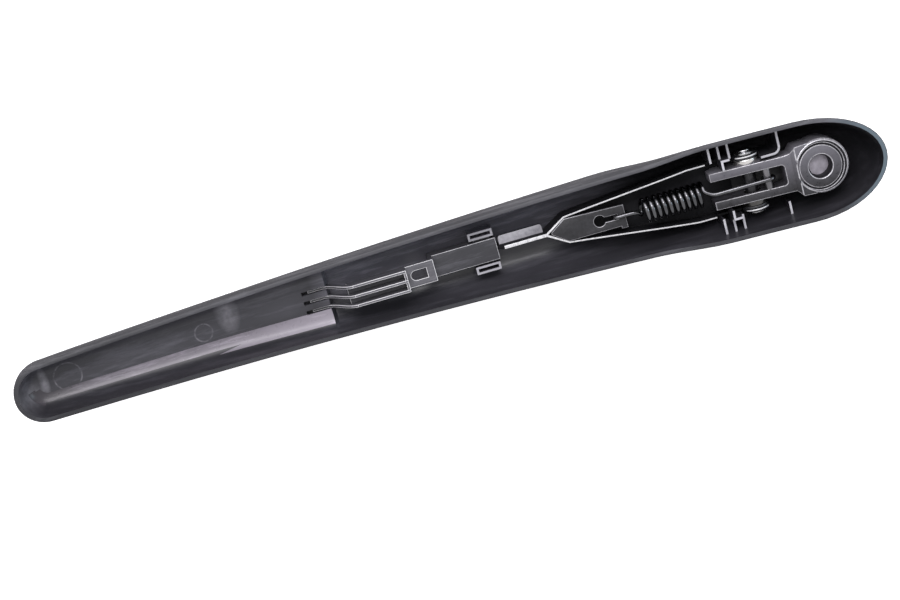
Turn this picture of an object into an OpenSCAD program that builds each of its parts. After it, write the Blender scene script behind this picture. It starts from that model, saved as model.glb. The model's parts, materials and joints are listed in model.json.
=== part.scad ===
// Rear wiper arm, lying on its crown with the open underside up.
// +X points from the arm's tip to its mounting head and +Z out of the underside, towards the glass.
// The origin is on the spindle's axis, inside the spindle socket. Sizes are in millimetres.

/* [Shell outline] */
// Distance from the spindle axis to the centre of the tip's round end
tip_x = 363.5; // [340:0.5:390]
// Half width of the shell at the tip
tip_half = 13.6; // [13:0.1:16]
// Half width of the shell where the shoulder begins
waist_half = 21.4; // [20.5:0.1:24]
// Half width of the shell round the mounting head
head_half = 23.9; // [23:0.1:28]
// Distance from the spindle axis to where the shoulder begins
waist_x = 84; // [76:1:96]
// Distance from the spindle axis to where the shoulder is full
shoulder_x = 46; // [40:1:52]
// Length of the oval end
nose_len = 37.4; // [36:0.1:44]
// Distance from the spindle axis back to the centre of the oval end
nose_x = 8; // [5:0.5:12]
// Power of the taper from tip to shoulder, where 1 is straight
taper_power = 0.95; // [0.8:0.05:1.6]

/* [Shell section] */
// Height of the rim above the origin, at the spindle axis
rim_z = 6.9; // [4.5:0.1:8]
// How far the middle of the rim bows away from the glass
bow = 13.6; // [10:0.1:15]
// Depth of the shell at its tip
tip_depth = 16; // [14:0.1:19]
// Clearance between the shell's floor and the lever's pad above it
under_gap = 2.5; // [2:0.1:5]
// Depth of the shell at the mounting head
head_depth = 33.5; // [31:0.1:36]
// Wall thickness of the shell
wall = 2.1; // [1.7:0.1:2.4]
// Width of the small bevel along the outer edge of the rim
rim_bevel = 0.4; // [0.2:0.1:0.7]
// Power of the crown's curve, where 2 is an ellipse and more is boxier
crown_power = 3.1; // [2.8:0.1:3.3]
// Power of the curve inside the shell
inside_power = 3.2; // [2.9:0.1:3.4]
// How much narrower the shell's sides draw in towards the crown at the head, as a share
head_flare = 0.28; // [0.2:0.02:0.34]
// How far the sides swell out below the rim
side_swell = 0.6; // [0.4:0.1:1.4]
// Distance from the spindle axis to the edge of the raised floor near the tip
platform_x = 231; // [228:1:238]
// Depth of the raised floor below the rim at its edge
platform_depth = 11.1; // [10.5:0.1:12.5]

/* [Shell ribs] */
// Thickness of the ribs inside the shell
rib_t = 1; // [0.8:0.1:1.2]
// Distance between the three ribs beside the pivot
rib_pitch = 4.45; // [4:0.05:4.8]
// Distance from the spindle axis to the middle one of the three ribs
rib_x = 42.8; // [42.5:0.1:44]
// Height of the ribs' top edges above the origin
rib_top = -4.5; // [-6:0.1:-3.5]
// Height of the tops of the two nibs that hold the retainer down
nib_top = -0.6; // [-1.5:0.1:1]
// Length of the short wall beside each nib
stub_len = 3.6; // [2.5:0.1:4]
// Distance from the spindle axis to the rib beside the mounting head
head_rib_x = 16; // [15.5:0.1:17]
// Distance of the curved guide wall from the middle plane
guide_y = 10.3; // [10:0.1:11]
// Length of the straight part of the guide wall
guide_len = 6; // [4:0.1:6.5]
// Radius of the bend in the guide wall
guide_bend = 3.5; // [2:0.1:4]

/* [Pivot] */
// Distance from the spindle axis to the pivot pin's axis
pivot_x = 30.8; // [30.4:0.1:31.4]
// Height of the pivot pin's axis below the origin
pivot_drop = 8.3; // [8:0.1:9]
// Radius of the pivot pin
pin_r = 3; // [2.5:0.05:3.2]
// Radius of the pivot pin's flat head
pin_head_r = 4.25; // [3.9:0.05:4.4]
// Thickness of the pivot pin's flat head
pin_head_t = 1.6; // [1.2:0.1:2]
// Wall of the bush round the pivot pin
bush_wall = 1; // [0.8:0.05:1.2]
// Radius of the bush's collar
collar_r = 5.4; // [5:0.1:5.6]
// Length of the bush's collar between the ear and the washer
collar_len = 2.3; // [2:0.1:2.4]
// Thickness of the retaining ring on the pivot pin
ring_t = 0.7; // [0.5:0.1:0.9]
// Radius of the retaining ring
ring_r = 4.5; // [4.2:0.1:4.6]

/* [Mounting head] */
// Radius of the spindle socket
socket_r = 4.9; // [4.5:0.05:5.2]
// Radius of the socket's mouth
mouth_r = 5.7; // [5.5:0.05:6]
// Height of the socket's mouth above the origin
mouth_z = 2.5; // [2.2:0.1:2.8]
// Depth of the mouth's taper
mouth_taper = 2; // [1.5:0.1:2.1]
// Depth of the socket from its mouth
socket_depth = 5.6; // [5:0.1:7]
// Height of the hub from its mouth down
hub_h = 12.4; // [11.5:0.1:12.6]
// Radius of the hub
hub_r = 12.7; // [12.2:0.1:12.9]
// How far the hub's body is set off towards the shell's nose
hub_shift = 0.6; // [0:0.1:0.7]
// Radius of the flat land round the mouth
land_r = 9.9; // [9.2:0.1:10.2]
// Width of the groove round the land
groove_w = 0.9; // [0.6:0.1:1.1]
// Depth of the groove round the land
groove_d = 0.7; // [0.4:0.1:1]
// Half width of the clevis across its two ears
clevis_half = 8.7; // [8.4:0.05:9]
// Thickness of each ear of the clevis
ear_t = 3.9; // [3.4:0.05:4.1]
// Distance from the spindle axis to the free ends of the ears
ear_end = 49.3; // [48:0.1:50]
// Distance from the spindle axis to the closed end of the clevis slot
slot_end = 15.7; // [15.5:0.1:16.2]
// Height of the ears' top edge beside the hub
ear_top = 0.1; // [-0.3:0.1:0.5]
// How much lower the ears' top edge is at their free ends
ear_fall = 5; // [4.2:0.1:5.4]
// Distance from the spindle axis to the spring pin
anchor_x = 23.8; // [23.4:0.1:24.1]
// Depth of the spring pin's axis below the origin
anchor_drop = 2.9; // [2.7:0.1:3.2]
// Radius of the spring pin
anchor_r = 1.75; // [1.6:0.05:1.9]

/* [Retainer] */
// Thickness of the retainer's steel sheet
sheet = 0.9; // [0.8:0.05:1]
// Half width of the retainer across its parallel walls
ret_half = 13.1; // [13:0.05:13.2]
// Distance from the spindle axis to the end of the parallel walls
ret_bend_x = 58; // [56:1:62]
// Half width of the retainer where it pinches in
ret_neck_half = 6.6; // [6.4:0.1:6.9]
// Distance from the spindle axis to where the retainer pinches in
ret_neck_x = 117.5; // [116:0.5:119]
// Distance from the spindle axis to where the walls meet
ret_meet_x = 126.8; // [125:0.2:128]
// Distance from the spindle axis to the end of the web
web_x = 147; // [145:0.5:148]
// Radius of the retainer's ears round the pivot pin
ret_ear_r = 6.4; // [6:0.1:6.5]
// Height of the walls' top edge below the origin, at the ears of the clevis
ret_top = 8.1; // [7.5:0.1:8.8]
// How much lower the walls' top edge is between there and the pivot
ret_dip = 3; // [2:0.1:4]
// Height of the walls' top edge below the origin, at the web
web_top = 14.3; // [14:0.1:14.8]
// Height of the floor's upper face below the origin, beside the pivot
floor_top = 16.2; // [16:0.1:16.5]
// Height of the floor's upper face below the origin, at the web
web_floor = 23.6; // [23:0.1:24]
// Width of the flange beside the web
flange_w = 4.9; // [4:0.1:5.2]
// Height of the flange below the web's top edge
flange_drop = 4.2; // [3.4:0.1:4.6]
// How far the flange falls towards its outer edge
flange_fall = 1.2; // [0.6:0.1:1.4]

/* [Hook plate] */
// Thickness of the hook plate
plate_t = 1.6; // [1.2:0.1:1.8]
// Half width of the hook plate
plate_half = 4.9; // [4.6:0.1:5.1]
// Distance from the spindle axis to the hook plate's free end
plate_end = 89.7; // [89:0.1:90]
// Height of the hook plate's upper face below the origin, at its free end
plate_top = 11; // [10.6:0.1:11.4]
// Slope of the hook plate in degrees
plate_slope = 5; // [4.6:0.1:5.4]
// Distance from the spindle axis to the keyhole
key_x = 101.8; // [101.2:0.1:102.4]
// Radius of the keyhole
key_r = 2.7; // [2.4:0.1:3]
// Material left between the keyhole's neck and the plate's free end
key_bridge = 3.6; // [3.4:0.1:3.9]

/* [Spring] */
// Thickness of the spring's wire
wire = 2; // [1.8:0.05:2.1]
// Outer radius of the spring's coils
coil_r = 6.1; // [5.8:0.05:6.3]
// Number of turns
coil_turns = 10.5; // [9.5:1:11.5]
// Distance from the spindle axis to the nearer end of the coils
coil_x = 53.2; // [52.6:0.1:54]
// Length of the coils
coil_len = 28.8; // [28:0.1:29.4]
// Height of the coils' axis below the origin
coil_drop = 8.4; // [8.2:0.1:8.8]

/* [Blade lever] */
// Half width of the lever's pad and plates
lever_half = 5.2; // [4.9:0.1:5.4]
// Height of the pad's top below the origin
pad_top = 16.9; // [16.6:0.1:17.3]
// Height of the pad from its bottom to its top
pad_h = 7.2; // [6.9:0.1:7.6]
// Distance from the spindle axis to the pad's end beside the web
pad_x = 150; // [149.5:0.1:151]
// Distance from the spindle axis to the step up to the slotted plate
step_x = 180.4; // [179:0.1:182]
// Height of the slotted plate's top below the origin
slot_top = 10.3; // [9.8:0.1:10.8]
// Distance from the spindle axis to the crossbar
bar_x = 193.6; // [192.4:0.1:195]
// Thickness of the lever's plates
lever_t = 2; // [1.6:0.1:2.4]
// Distance between the fork's prongs
prong_pitch = 4.6; // [4.4:0.05:4.7]
// Thickness of each prong
prong_t = 1.2; // [1:0.05:1.4]
// Height of the prongs' top edge below the origin
prong_top = 4.2; // [3.8:0.1:4.8]
// Height of each prong
prong_h = 3; // [2.6:0.1:3.2]
// Distance from the spindle axis to where the prongs turn down
prong_x = 218.5; // [216:0.5:220]
// Length of the prongs that lies in the grooves
prong_seat = 8.5; // [8:0.5:11.5]
// Length of the slot in the slotted plate
dslot_len = 7.6; // [7:0.1:8]
// Half width of the slot in the slotted plate
dslot_half = 2.3; // [2.1:0.05:2.4]

/* [Fits] */
// Radial clearance of a shaft that turns in a hole
run_gap = 0.05; // [0.03:0.01:0.08]
// Radial clearance of a part pressed or set in a hole
seat_gap = 0.02; // [0.01:0.01:0.04]
// Clearance between parts that lie beside each other
side_gap = 0.3; // [0.2:0.05:0.35]

/* [Hidden] */
$fn = 64;
plastic = [0.13, 0.13, 0.14];
grain = [0.16, 0.16, 0.17];
black = [0.06, 0.06, 0.065];
casting = [0.36, 0.35, 0.36];
steel = [0.62, 0.62, 0.64];
brass = [0.72, 0.6, 0.36];
// More than any height or width of the arm, for cutting tools
big = 200;
// How far a rib's foot reaches into the wall that carries it
root = 0.8;

// Shape of the shell. The middle is as deep as the lever's pad, its clearance and the wall need.
mid_depth = pad_top + pad_h + under_gap + wall - (bow - rim_z);
bow_x = tip_x / 2;
nose_end = nose_len - nose_x;
level_t = nose_end / bow_x;
head_steps = 34;
tip_steps = 12;
arc_steps = 12;
side_angles = [0, 4, 11, 22, 33, 45, 57, 68, 79];
platform_z = rim_at(-platform_x) - platform_depth;
step_run = 1.6;

function smooth(a, b, x) = let(t = max(0, min(1, (x - a) / (b - a)))) t * t * (3 - 2 * t);
function bow_shape(t) = t <= 1 ? t * t - 1 : 2 * (t - 1) * (1 - (t - 1) / (2 * level_t));
// Height of the rim at a place along the arm
function rim_at(x) = rim_z + bow * bow_shape((x + bow_x) / bow_x);
// Outer depth of the shell at a place along the arm
function depth_at(x) = tip_depth + (mid_depth - tip_depth) * smooth(-300, -150, x)
    + (head_depth - mid_depth) * smooth(-190, -10, x);
// Outer half width of the shell at a place along its straight sides
function taper_at(x) = tip_half
    + (waist_half - tip_half) * pow(max(0, (x + tip_x) / (tip_x - waist_x)), taper_power);
function half_at(x) = x < -waist_x ? taper_at(x)
    : waist_half + (head_half - waist_half) * smooth(-waist_x, -shoulder_x, x);
// Share by which the sides are drawn in at the full depth
function flare_at(x) = head_flare * smooth(-100, -45, x);
// How far the sides swell out at part of their depth, none at the head
function swell_at(x, g) = side_swell * (1 - smooth(-100, -45, x)) * 4 * g * (1 - g);
function inner_depth(x) = x < -platform_x ? min(depth_at(x) - wall, rim_at(x) - platform_z)
    : depth_at(x) - wall;

// Half of the rim's outline, from the nose to the tip. The third value is the place on the middle
// line that the section there closes towards.
nose_arc = [for (i = [0:arc_steps - 1]) let(a = 90 * i / arc_steps)
    [nose_len * cos(a) - nose_x, head_half * sin(a), -nose_x]];
head_side = [for (i = [0:head_steps]) let(x = -nose_x - (platform_x - step_run - nose_x) * i / head_steps)
    [x, half_at(x), x]];
tip_side = [for (i = [0:tip_steps]) let(x = -platform_x - (tip_x - platform_x) * i / tip_steps - 0.01)
    [x, half_at(x), x]];
tip_arc = [for (i = [1:arc_steps]) let(a = 90 * i / arc_steps)
    [-tip_x - tip_half * sin(a), tip_half * cos(a), -tip_x]];
upper_line = concat(nose_arc, head_side, tip_side, tip_arc);
lower_line = [for (i = [len(upper_line) - 2:-1:1])
    [upper_line[i][0], -upper_line[i][1], upper_line[i][2]]];
outline = concat(upper_line, lower_line);
count = len(outline);

function reach(p) = norm([p[0] - p[2], p[1]]);
// A point of the outline drawn in by a distance and then by a factor, towards the middle line
function drawn_in(p, d, f) = let(k = f * (1 - d / reach(p))) [p[2] + (p[0] - p[2]) * k, p[1] * k];
function round_out(a, power) = pow(cos(a), 2 / power);
function round_down(a, power) = a == 0 ? 0 : pow(sin(a), 2 / power);
function outer_ring(a) = let(g = round_down(a, crown_power)) [for (p = outline)
    let(q = drawn_in(p, -swell_at(p[0], g), round_out(a, crown_power)))
    [q[0], q[1] * (1 - flare_at(p[0]) * g),
     rim_at(q[0]) - depth_at(q[0]) * g - (a == 0 ? rim_bevel : 0)]];
function inner_ring(a) = [for (p = outline)
    let(q = drawn_in(p, wall, round_out(a, inside_power)), g = round_down(a, inside_power))
    [q[0], q[1] * (1 - flare_at(p[0]) * g), rim_at(q[0]) - inner_depth(p[0]) * g]];
function bevel_ring() = [for (p = outline)
    let(q = drawn_in(p, rim_bevel, 1)) [q[0], q[1], rim_at(q[0])]];

// Half width and height of the inner surface, sunk by the root into the wall
function inside_y(x, g) = (half_at(x) - wall + root) * (1 - flare_at(x) * g)
    * pow(max(0, 1 - pow(g, inside_power)), 1 / inside_power);
function inside_z(x, g) = rim_at(x) - (inner_depth(x) + root) * g;
// How far down the section a width lies, as a share of its depth, found by halving
function share_of(x, y, lo = 0, hi = 1, i = 0) = let(mid = (lo + hi) / 2)
    i == 14 ? mid : inside_y(x, mid) > y ? share_of(x, y, mid, hi, i + 1) : share_of(x, y, lo, mid, i + 1);

// Places that several parts share
pivot_z = -pivot_drop;
anchor_z = -anchor_drop;
bush_r = pin_r + bush_wall;
hub_bottom = mouth_z - hub_h;
ret_in = ret_half - sheet;
web_half = sheet;
rib_in = ret_half + side_gap;
washer_in = clevis_half + collar_len + side_gap / 2;
ear_low = floor_top - side_gap;
ear_round = 6.1;
tongue_x = pad_x + 11;
tongue_top = 2 * (pad_top + 0.8) - pad_top - 0.8;
tongue_low = pad_top + pad_h - 1.2;
key_end = plate_end + key_bridge;
// The hook plate's point, where the channel is as wide as the point and a little clearance
plate_tip = ret_meet_x - sheet - 1.3;
tower_in = lever_half + 1.2;
tower_out = tower_in + 3.6;
tower_x = pad_x + 0.4;
tower_len = 11.6;
tower_top = pad_top + 0.4;
prong_seat_top = platform_z - 0.9;
groove_len = prong_seat + 3;
groove_h = prong_h + 0.7;
groove_half = prong_t / 2 + side_gap;

// Slope and height of the retainer's floor and walls along the arm
function floor_at(x) = -floor_top
    - (web_floor - floor_top) * max(0, (-x - ear_end) / (ret_meet_x - ear_end));
function ret_top_at(x) = -ret_top - (web_top - ret_top) * smooth(ear_end, ret_meet_x, -x);
// Height of the hook plate's upper face
function plate_at(x) = -plate_top + (x + plate_end) * tan(plate_slope);
// Upper edge of a prong as it turns down into its groove
function prong_at(x) = let(t = smooth(prong_x, platform_x + 2.5, -x))
    -prong_top * (1 - t) + prong_seat_top * t;

// Draws a side view, x across and z up, and gives it a thickness from y0 to y1
module side_slab(y0, y1) {
    translate([0, y1, 0]) rotate([90, 0, 0]) linear_extrude(y1 - y0) children();
}

// Draws a front view, y across and z up, and gives it a thickness from x0 to x1
module cross_slab(x0, x1) {
    translate([x0, 0, 0]) rotate([90, 0, 90]) linear_extrude(x1 - x0) children();
}

// A round bar along Y from y0 to y1
module bar_y(r, y0, y1) {
    translate([0, y1, 0]) rotate([90, 0, 0]) cylinder(r = r, h = y1 - y0);
}

module at_pivot() {
    translate([-pivot_x, 0, pivot_z]) children();
}

module at_anchor() {
    translate([-anchor_x, 0, anchor_z]) children();
}

// The bowl of the shell: outer rings down to the crown, inner rings back up to the rim
module bowl() {
    rings = concat([for (i = [len(side_angles) - 1:-1:0]) outer_ring(side_angles[i])],
                   [bevel_ring()],
                   [for (a = side_angles) inner_ring(a)]);
    last = len(rings) - 1;
    half_count = count / 2;
    points = [for (r = rings) for (p = r) p];
    sides = [for (j = [0:last - 1]) for (k = [0:count - 1])
        let(n = (k + 1) % count, a = j * count, b = a + count)
        each [[a + k, b + k, b + n], [a + k, b + n, a + n]]];
    outer_cap = [for (k = [0:half_count - 1]) let(m = (count - k) % count, n = count - k - 1)
        each (k == 0 ? [[0, 1, n]]
            : k == half_count - 1 ? [[k, k + 1, m]]
            : [[k, k + 1, m], [k + 1, n, m]])];
    top = last * count;
    inner_cap = [for (f = outer_cap) [top + f[0], top + f[2], top + f[1]]];
    polyhedron(points = points, faces = concat(sides, outer_cap, inner_cap), convexity = 6);
}

// A rib across the shell, from a distance off the middle plane out to the wall and down to the floor
module cross_rib(x, y_in, z_top, side) {
    g_top = (rim_at(x) - z_top) / (inner_depth(x) + root);
    g_low = share_of(x, y_in);
    steps = 7;
    wall_line = [for (i = [0:steps]) let(g = g_top + (g_low - g_top) * i / steps)
        [side * inside_y(x, g), inside_z(x, g)]];
    cross_slab(x - rib_t / 2, x + rib_t / 2)
        polygon(concat([[side * y_in, z_top]], wall_line));
}

// A low wall along the arm, standing on the shell's floor
module long_wall(x0, x1, y_in, z_top, side) {
    low = inside_z(x0, share_of(x0, y_in + rib_t));
    y0 = side > 0 ? y_in : -y_in - rib_t;
    side_slab(y0, y0 + rib_t) polygon([[x0, z_top], [x1, z_top], [x1, low], [x0, low]]);
}

// The wall beside the pivot that bends round to meet the shell's side
module guide_wall() {
    far_y = guide_y + guide_bend;
    low = inside_z(-head_rib_x, share_of(-head_rib_x, far_y)) + root;
    x_bend = -head_rib_x - guide_bend + rib_t / 2;
    height = nib_top - low;
    translate([0, 0, low]) linear_extrude(height) {
        translate([x_bend - guide_len, guide_y]) square([guide_len, rib_t]);
        translate([x_bend, far_y]) difference() {
            circle(guide_bend);
            circle(guide_bend - rib_t);
            translate([-big, -big]) square([big, 2 * big]);
            translate([-big, 0]) square([2 * big, big]);
        }
        translate([-head_rib_x - rib_t / 2, far_y - 0.01]) square([rib_t, rib_t]);
    }
    cross_rib(-head_rib_x, far_y, nib_top, 1);
}

// A low rib on the shell's floor, up to a height and out to a distance on both sides
module saddle(x, z_top, half) {
    steps = 10;
    floor_line = [for (i = [0:steps]) let(y = half * (1 - 2 * i / steps))
        [y, inside_z(x, share_of(x, abs(y)))]];
    cross_slab(x - rib_t / 2, x + rib_t / 2) polygon(concat([[half, z_top]], floor_line, [[-half, z_top]]));
}

// A hollow tower that holds the lever's pad
module snap_tower(side) {
    x0 = -tower_x - tower_len;
    low = inside_z(x0, share_of(x0, tower_out)) + root / 2;
    y0 = side > 0 ? tower_in : -tower_out;
    difference() {
        translate([x0, y0, low]) cube([tower_len, tower_out - tower_in, -tower_top - low]);
        translate([x0 + rib_t, y0 + rib_t, low + rib_t])
            cube([tower_len - 2 * rib_t, tower_out - tower_in - 2 * rib_t, big]);
    }
}

module arm_shell() {
    color(plastic) {
        difference() {
            bowl();
            for (i = [-1:1])
                translate([-platform_x - groove_len, i * prong_pitch - groove_half, prong_seat_top - groove_h])
                    cube([groove_len + 2, 2 * groove_half, big]);
        }
        for (side = [-1, 1]) {
            for (i = [-1:1])
                cross_rib(-rib_x + i * rib_pitch, rib_in, rib_top, side);
            nib(side);
            long_wall(-rib_x, -rib_x + stub_len, rib_in, nib_top, side);
            snap_tower(side);
        }
        cross_rib(-head_rib_x, guide_y + guide_bend, rib_top, -1);
        guide_wall();
        for (x = [-rib_x, -(ear_end + ret_meet_x) / 2])
            saddle(x, floor_at(x) - sheet - side_gap, ret_neck_half - 1);
        for (x = [-pad_x - 5, -step_x + 5])
            saddle(x, -pad_top - pad_h - side_gap, lever_half - 0.6);
    }
}

// A nib that reaches in over the retainer's top edge
module nib(side) {
    low = -ret_top - ret_dip + side_gap;
    y_in = clevis_half + 1;
    y0 = side > 0 ? y_in : -rib_in - rib_t;
    translate([-rib_x - rib_t / 2, y0, low]) cube([rib_t, rib_in + rib_t - y_in, nib_top - low]);
}

// Plan of the retainer's upper wall
function ret_plan(half, t) = [[-pivot_x + ret_ear_r + 1, half - t], [-pivot_x + ret_ear_r + 1, half],
    [-ret_bend_x, half], [-ret_neck_x, ret_neck_half], [-ret_meet_x, web_half],
    [-tongue_x, web_half], [-tongue_x, -0.01], [-ret_meet_x + t, -0.01],
    [-ret_neck_x + 0.45 * t, ret_neck_half - 1.05 * t], [-ret_bend_x + 0.1 * t, half - t]];

// The flange folded out on one side of the web, with round corners
module web_flange() {
    x0 = -pad_x + side_gap + 0.9;
    x1 = -ret_meet_x - side_gap - 0.5;
    low = -web_top - flange_drop;
    intersection() {
        cross_slab(x0, x1) polygon([[0, low], [flange_w, low - flange_fall],
            [flange_w, low - flange_fall - sheet], [0, low - sheet]]);
        translate([0, 0, -big / 2]) linear_extrude(big) {
            translate([x0, 0]) square([x1 - x0, flange_w - 1.5]);
            translate([x0 + 1.5, 0]) square([x1 - x0 - 3, flange_w]);
            for (x = [x0 + 1.5, x1 - 1.5])
                translate([x, flange_w - 1.5]) circle(1.5);
        }
    }
}

module retainer() {
    steps = 12;
    span = ret_meet_x - ear_end;
    wall_top = [for (i = [0:steps]) let(x = -ear_end - span * i / steps) [x, ret_top_at(x)]];
    color(steel) {
        difference() {
            intersection() {
                translate([0, 0, -big / 2]) linear_extrude(big) {
                    polygon(ret_plan(ret_half, sheet));
                    mirror([0, 1]) polygon(ret_plan(ret_half, sheet));
                }
                side_slab(-big / 2, big / 2) {
                    translate([-pivot_x, pivot_z]) circle(ret_ear_r);
                    polygon(concat([[-pivot_x, -ret_top - ret_dip], [-ear_end + 1, -ret_top - ret_dip]],
                        wall_top,
                        [[-web_x, -web_top], [-pad_x, -tongue_top], [-tongue_x, -tongue_top],
                         [-tongue_x, -tongue_low], [-pad_x, -tongue_low], [-web_x, -web_floor - sheet],
                         [-ret_meet_x, -web_floor - sheet], [-ear_end, -floor_top - sheet],
                         [-pivot_x, -floor_top - sheet + 1.5]]));
                }
            }
            at_pivot() bar_y(pin_r + seat_gap, -big / 2, big / 2);
        }
        web_flange();
        intersection() {
            translate([0, 0, -big / 2]) linear_extrude(big)
                polygon([[-38, ret_in + 0.1], [-ret_bend_x, ret_in + 0.1],
                         [-ret_neck_x, ret_neck_half - 0.5], [-ret_meet_x, 0.5],
                         [-ret_meet_x, -0.5], [-ret_neck_x, -ret_neck_half + 0.5],
                         [-ret_bend_x, -ret_in - 0.1], [-38, -ret_in - 0.1]]);
            side_slab(-big / 2, big / 2)
                polygon([[-37, -floor_top], [-ear_end, -floor_top], [-ret_meet_x, -web_floor],
                         [-ret_meet_x, -web_floor - sheet], [-ear_end, -floor_top - sheet],
                         [-37, -floor_top - sheet]]);
        }
    }
}

module hook_plate() {
    color(steel) difference() {
        translate([-plate_end, 0, -plate_top]) rotate([0, -plate_slope, 0])
            translate([plate_end, 0, -plate_t]) linear_extrude(plate_t) {
                polygon([[-plate_end, plate_half], [-ret_neck_x, ret_neck_half - 1.25 * sheet],
                         [-plate_tip, 0.5], [-plate_tip, -0.5],
                         [-ret_neck_x, 1.25 * sheet - ret_neck_half], [-plate_end, -plate_half]]);
                translate([-plate_end - 3, -plate_half - 1.2]) square([3, 2]);
            }
        translate([-key_x, 0, -big / 2]) cylinder(r = key_r, h = big);
        translate([-key_x, -wire / 2 - 0.2, -big / 2]) cube([key_x - key_end, wire + 0.4, big]);
    }
}

module blade_lever() {
    pad_low = pad_top + pad_h;
    steps = 14;
    run = platform_x + 2.5 - prong_x;
    bend = [for (i = [0:steps]) let(x = -prong_x - run * i / steps) [x, prong_at(x)]];
    under = [for (i = [steps:-1:0]) let(x = -prong_x - run * i / steps) [x + 0.9, prong_at(x) - prong_h]];
    seat_end = -platform_x - prong_seat;
    color(grain) {
        difference() {
            side_slab(-lever_half, lever_half)
                polygon([[-pad_x, -pad_top], [-step_x, -pad_top], [-step_x, -slot_top],
                         [-bar_x, -slot_top], [-prong_x - 3, -slot_top], [-prong_x - 3, -slot_top - lever_t],
                         [-step_x - lever_t, -slot_top - lever_t], [-step_x - lever_t, -pad_low],
                         [-pad_x, -pad_low]]);
            translate([-tongue_x - side_gap, -web_half - 0.1, -tongue_low - 0.1])
                cube([tongue_x, 2 * web_half + 0.2, tongue_low - tongue_top + 0.2]);
            translate([-step_x - 3.8, -dslot_half, -big / 2])
                mirror([1, 0, 0]) cube([dslot_len - dslot_half, 2 * dslot_half, big]);
            translate([-step_x - 3.8 - dslot_len + dslot_half, 0, -big / 2])
                cylinder(r = dslot_half, h = big);
        }
        translate([-bar_x - prong_t, -prong_pitch, -slot_top - 0.5])
            cube([prong_t, 2 * prong_pitch, slot_top - prong_top + 0.5 - 0.6]);
        for (i = [-1:1])
            side_slab(i * prong_pitch - prong_t / 2, i * prong_pitch + prong_t / 2) {
                polygon([[-bar_x, -prong_top], [-prong_x - 0.1, -prong_top],
                         [-prong_x - 3, -slot_top - 0.5], [-bar_x, -slot_top - 0.5]]);
                polygon(concat([[-prong_x + 4, -prong_top]], bend,
                    [[seat_end, prong_seat_top], [seat_end, prong_seat_top - prong_h]], under,
                    [[-prong_x + 4, -prong_top - prong_h]]));
            }
        for (side = [-1, 1])
            translate([-tower_x - tower_len + 2, side > 0 ? lever_half - 0.1 : -tower_in + side_gap, -pad_low])
                cube([tower_len - 4, tower_in - side_gap - lever_half + 0.1, 4]);
    }
}

// Centre line of the spring: shank and hook at the head, coils, and hook at the plate
mean_r = coil_r - wire / 2;
wire_r = wire / 2;
hook_r = anchor_r + wire_r + run_gap;
plate_bend = plate_t / 2 + wire_r + 0.25;
plate_mid = plate_at(-key_end) - plate_t / 2;
end_hook = [for (i = [0:9]) let(a = -130 + 220 * i / 9)
    [-anchor_x + hook_r * cos(a), 0, anchor_z + hook_r * sin(a)]];
hook_top = anchor_z + hook_r;
shank = [[-36, 0, hook_top - 0.25], [-47.6, 0, hook_top - 0.55], [-49.6, 0.15, hook_top - 0.95],
    [-51, 0.6, hook_top - 1.8]];
coil_step = 18;
coil_rings = floor(coil_turns * 360 / coil_step);
coil = [for (i = [0:coil_rings]) let(a = 112 + i * coil_step)
    [-coil_x - coil_len * i / coil_rings, -mean_r * cos(a), -coil_drop + mean_r * sin(a)]];
far_shank = [[-coil_x - coil_len - 0.6, -2.3, -coil_drop - 3.6], [-coil_x - coil_len - 1.2, -1.4, -coil_drop - 2.4],
    [-coil_x - coil_len - 2.2, -0.4, plate_mid + plate_bend - 0.1], [-key_end + 4, 0, plate_mid + plate_bend]];
far_hook = [for (i = [0:7]) let(a = 90 + 180 * i / 7)
    [-key_end + 0.4 + plate_bend * cos(a), 0, plate_mid + plate_bend * sin(a)]];
far_end = [[-key_end + 5, 0, plate_mid - plate_bend - 0.2]];
spring_line = concat(end_hook, shank, coil, far_shank, far_hook, far_end);

// A wire along a line of points, with a ring of corners round each point
module wire_along(line, r, sides) {
    last = len(line) - 1;
    function way(i) = let(d = line[min(last, i + 1)] - line[max(0, i - 1)]) d / norm(d);
    // The ring's own directions turn with the wire, starting from Y
    function turned(u, d) = let(v = u - d * (u * d)) v / norm(v);
    ups = [for (i = 0, u = turned([0, 1, 0], way(0)); i <= last;
        i = i + 1, u = i <= last ? turned(u, way(i)) : u) u];
    points = [for (i = [0:last]) let(d = way(i), u = ups[i], w = cross(d, u))
        for (k = [0:sides - 1]) let(a = 360 * k / sides) line[i] + r * (cos(a) * u + sin(a) * w)];
    faces = concat(
        [[for (k = [sides - 1:-1:0]) k]],
        [for (i = [0:last - 1]) for (k = [0:sides - 1])
            let(n = (k + 1) % sides, a = i * sides, b = a + sides)
            each [[a + k, a + n, b + n], [a + k, b + n, b + k]]],
        [[for (k = [0:sides - 1]) last * sides + k]]);
    polyhedron(points = points, faces = faces, convexity = 8);
}

module tension_spring() {
    color(black) wire_along(spring_line, wire_r, 8);
}

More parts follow.
